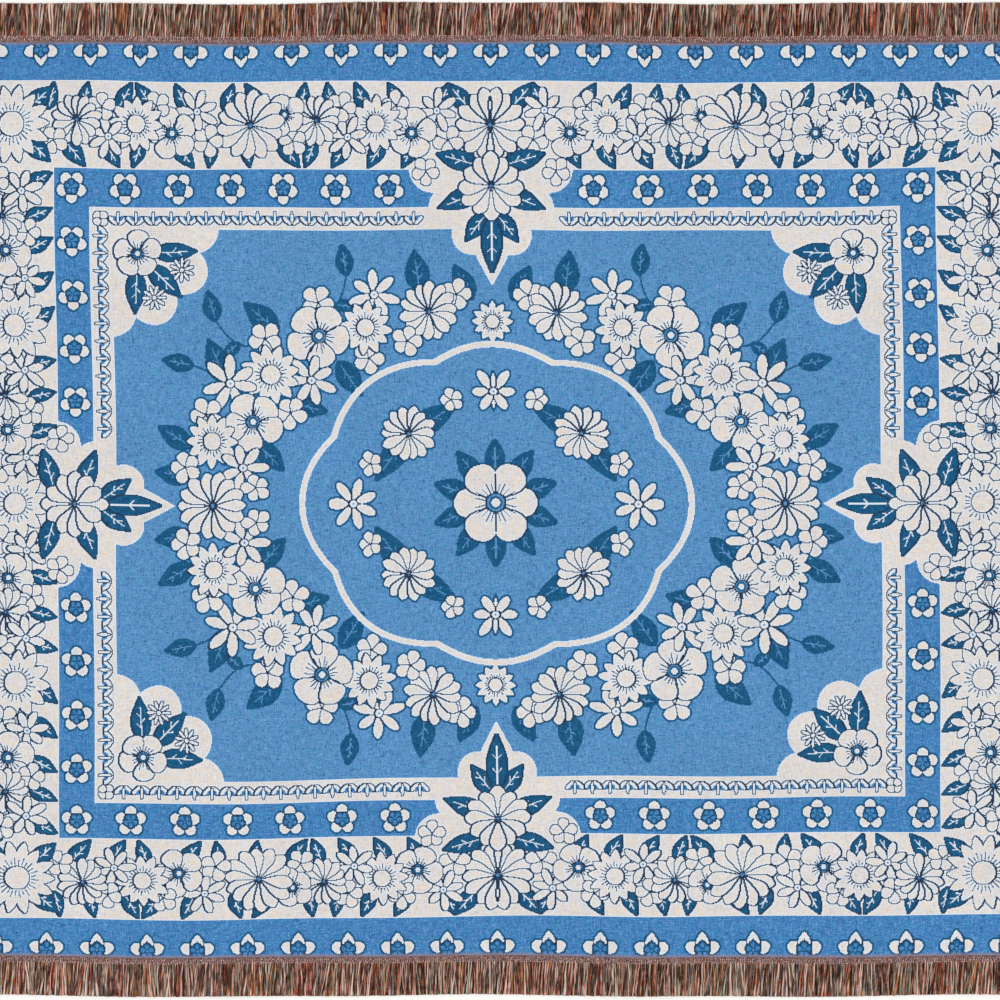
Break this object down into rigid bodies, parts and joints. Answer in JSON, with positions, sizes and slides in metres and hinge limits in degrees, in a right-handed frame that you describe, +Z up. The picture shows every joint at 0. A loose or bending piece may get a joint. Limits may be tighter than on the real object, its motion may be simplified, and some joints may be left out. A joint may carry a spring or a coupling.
{
  "type": "travel blanket",
  "caption": "Flat-laid woven travel blanket with turned side hems, a narrow heading along each long edge and a cut yarn fringe.",
  "frame": {"origin": "under the middle of the blanket, on the surface that it rests on", "axes": "+X to the right along the fringed edges, +Y across the cloth towards the far fringe, +Z up from the surface, out of the patterned face"},
  "size_m": [1.604, 1.3994, 0.0054],
  "materials": {
    "woven_cloth": "two-layer jacquard weave of matt cotton yarn, with blue, ivory, navy and teal yarns changing places",
    "fringe_yarn": "cut warp yarn of many muted colours, slightly fuzzy and matt"
  },
  "bodies": {
    "root": {"cloth": "woven_cloth", "fringe_far": "fringe_yarn", "fringe_near": "fringe_yarn"}
  },
  "joints": []
}
